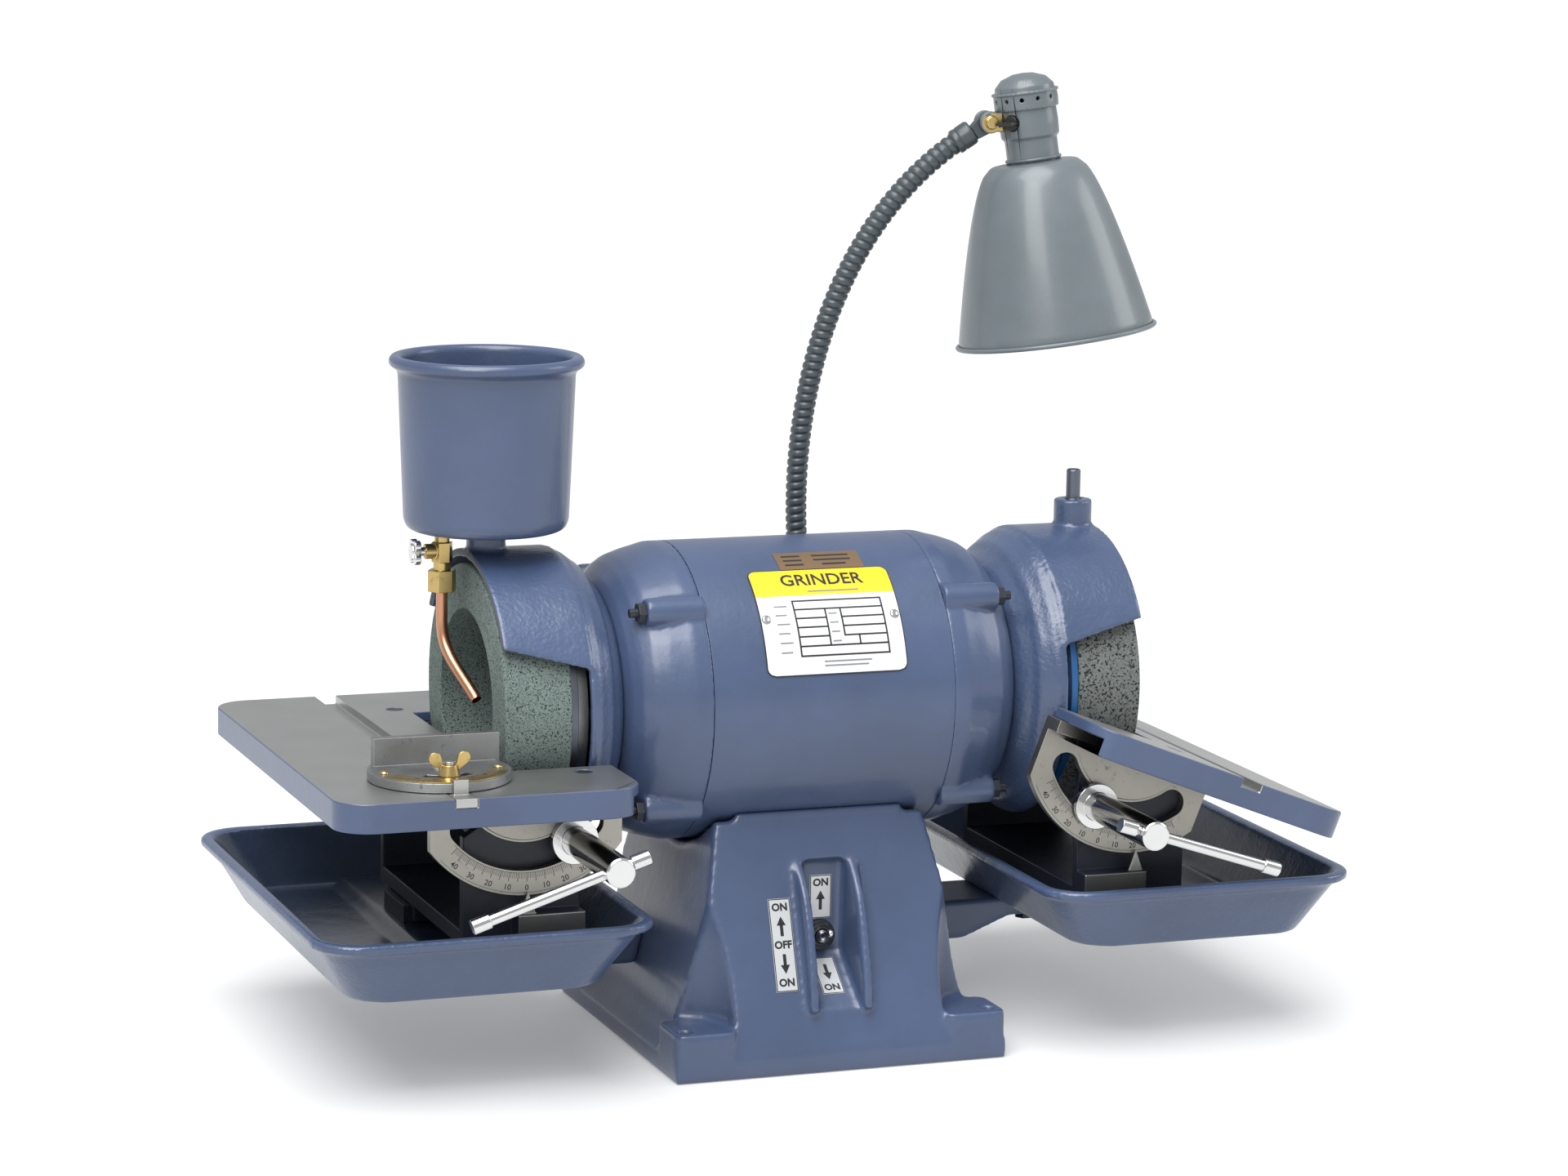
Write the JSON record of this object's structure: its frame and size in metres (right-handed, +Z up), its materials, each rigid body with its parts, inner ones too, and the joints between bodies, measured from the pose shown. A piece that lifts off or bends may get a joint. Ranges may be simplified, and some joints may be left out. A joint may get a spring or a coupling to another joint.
{
  "type": "bench grinder",
  "caption": "Bench grinder for tool work: enclosed motor on a pedestal, a hooded wheel and tilting table at each end, coolant trays, water pot and gooseneck lamp.",
  "frame": {"origin": "centre of the base's bottom face", "axes": "+X along the motor shaft to the operator's right, +Y away from the operator, +Z up"},
  "size_m": [0.61, 0.342, 0.5418],
  "materials": {
    "blue_enamel": "semi-gloss blue-grey enamel over cast iron",
    "grey_enamel": "semi-gloss grey enamel",
    "ground_steel": "ground",
    "zinc_steel": "zinc plated",
    "nickel_plate": "dull nickel plate",
    "gauge_zinc": "cast zinc",
    "black_steel": "black oxide",
    "dark_iron": "dark painted cast iron",
    "dark_steel": "plain turned steel",
    "bearing_steel": "ground",
    "lamination_steel": "laminated",
    "copper_wire": "varnished copper wire",
    "copper": "bare copper",
    "brass": "machined",
    "chrome": "bright plated",
    "aluminium": "cast",
    "green_abrasive": "green silicon carbide, porous",
    "grey_abrasive": "grey abrasive, coarse and porous",
    "backing_blue": "painted steel ring",
    "plate_white": "printed metal plate",
    "plate_copper": "foil",
    "plate_silver": "printed foil",
    "black_plastic": "moulded",
    "bulb_glass": "frosted"
  },
  "bodies": {
    "frame": {"base_pedestal": "blue_enamel", "base_cover": "zinc_steel", "base_fasteners": "zinc_steel", "capacitor": "black_plastic", "power_gland": "black_plastic", "motor_shell": "blue_enamel", "left_end_bell": "blue_enamel", "right_end_bell": "blue_enamel", "end_bell_studs": "black_steel", "stator_core": "lamination_steel", "stator_windings": "copper_wire", "bearing_outers": "bearing_steel", "left_hood": "blue_enamel", "right_hood": "blue_enamel", "hood_screws": "black_steel", "nameplate": "plate_white", "rating_sticker": "plate_copper", "switch_body": "black_plastic", "switch_collar": "black_steel", "switch_plates": "plate_silver", "left_tray": "blue_enamel", "right_tray": "blue_enamel", "tray_arms": "blue_enamel", "tray_bolts": "black_steel", "slide_ways": "dark_iron", "lamp_bracket": "blue_enamel", "hood_pins": "dark_steel"},
    "rotor": {"shaft": "bearing_steel", "rotor_core": "lamination_steel", "cooling_fan": "aluminium", "bearing_inners": "bearing_steel", "wheel_flanges": "zinc_steel", "left_wheel": "green_abrasive", "right_wheel": "grey_abrasive", "wheel_backings": "backing_blue", "wheel_fasteners": "black_steel"},
    "toggle": {"toggle_lever": "chrome"},
    "left_carriage": {"left_bracket": "dark_iron"},
    "left_rest": {"left_table": "ground_steel", "left_trunnions": "nickel_plate"},
    "left_clamp": {"left_clamp_hub": "chrome"},
    "left_bar": {"left_clamp_bar": "chrome"},
    "right_carriage": {"right_bracket": "dark_iron"},
    "right_rest": {"right_table": "ground_steel", "right_trunnions": "nickel_plate"},
    "right_clamp": {"right_clamp_hub": "chrome"},
    "right_bar": {"right_clamp_bar": "chrome"},
    "gauge_slide": {"gauge_bar": "ground_steel"},
    "gauge_swing": {"gauge_head": "gauge_zinc"},
    "wing_nut": {"gauge_wing_nut": "brass"},
    "pot": {"water_pot": "blue_enamel", "coolant_valve": "brass", "copper_tube": "copper"},
    "valve": {"valve_handle": "chrome"},
    "neck_base": {"gooseneck_lower": "grey_enamel"},
    "neck_top": {"gooseneck_upper": "grey_enamel"},
    "lamp_head": {"lamp_socket": "grey_enamel", "lamp_shade": "grey_enamel", "lamp_bulb": "bulb_glass"},
    "lamp_switch": {"lamp_key": "black_plastic"}
  },
  "joints": [
    {"name": "rotor_spin", "type": "hinge", "parent": "frame", "child": "rotor", "pos_m": [0, 0, 0.2], "axis": [1, 0, 0], "continuous": true},
    {"name": "toggle_throw", "type": "hinge", "parent": "frame", "child": "toggle", "pos_m": [0, -0.068, 0.068], "axis": [1, 0, 0], "range_deg": [0, 40]},
    {"name": "left_table_feed", "type": "slide", "parent": "frame", "child": "left_carriage", "axis": [-1, 0, 0], "range_m": [0, 0.02]},
    {"name": "left_table_tilt", "type": "hinge", "parent": "left_carriage", "child": "left_rest", "pos_m": [-0.18, 0, 0.177], "axis": [0, -1, 0], "range_deg": [-8, 32]},
    {"name": "left_clamp_turn", "type": "hinge", "parent": "left_carriage", "child": "left_clamp", "pos_m": [-0.15411, -0.166, 0.13862], "axis": [0, -1, 0], "range_deg": [-12, 70]},
    {"name": "left_bar_slide", "type": "slide", "parent": "left_clamp", "child": "left_bar", "axis": [0.9511, 0, 0.309], "range_m": [0, 0.064]},
    {"name": "right_table_feed", "type": "slide", "parent": "frame", "child": "right_carriage", "axis": [1, 0, 0], "range_m": [0, 0.02]},
    {"name": "right_table_tilt", "type": "hinge", "parent": "right_carriage", "child": "right_rest", "pos_m": [0.18, 0, 0.177], "axis": [0, 1, 0], "range_deg": [-29, 11]},
    {"name": "right_clamp_turn", "type": "hinge", "parent": "right_carriage", "child": "right_clamp", "pos_m": [0.15411, -0.166, 0.13862], "axis": [0, 1, 0], "range_deg": [-12, 70]},
    {"name": "right_bar_slide", "type": "slide", "parent": "right_clamp", "child": "right_bar", "axis": [-0.9511, 0, 0.309], "range_m": [0, 0.064]},
    {"name": "gauge_travel", "type": "slide", "parent": "left_rest", "child": "gauge_slide", "axis": [0, 1, 0], "range_m": [-0.01, 0.1]},
    {"name": "gauge_angle", "type": "hinge", "parent": "gauge_slide", "child": "gauge_swing", "pos_m": [-0.23, -0.093, 0.18], "axis": [0, 0, 1], "range_deg": [0, 30]},
    {"name": "wing_nut_turn", "type": "hinge", "parent": "gauge_slide", "child": "wing_nut", "pos_m": [-0.23, -0.112, 0.186], "axis": [0, 0, 1], "range_deg": [-90, 90]},
    {"name": "pot_swivel", "type": "hinge", "parent": "frame", "child": "pot", "pos_m": [-0.1768, 0, 0.31], "axis": [0, 0, 1], "range_deg": [-25, 8]},
    {"name": "valve_turn", "type": "hinge", "parent": "pot", "child": "valve", "pos_m": [-0.215, 0, 0.2843], "axis": [-1, 0, 0], "range_deg": [0, 270]},
    {"name": "neck_swivel", "type": "hinge", "parent": "frame", "child": "neck_base", "pos_m": [0.042, 0.095, 0.22], "axis": [0, 0, 1], "range_deg": [-75, 40]},
    {"name": "neck_flex", "type": "hinge", "parent": "neck_base", "child": "neck_top", "pos_m": [0.05763, 0.08069, 0.40737], "axis": [0.4311, 0.9023, 0], "range_deg": [-12, 12]},
    {"name": "lamp_tilt", "type": "hinge", "parent": "neck_top", "child": "lamp_head", "pos_m": [0.139, 0.0503, 0.5133], "axis": [0, 1, 0], "range_deg": [-35, 15]},
    {"name": "lamp_key_turn", "type": "hinge", "parent": "lamp_head", "child": "lamp_switch", "pos_m": [0.16435, 0.04967, 0.51422], "axis": [-0.8361, -0.5433, -0.0762], "range_deg": [0, 90]}
  ]
}
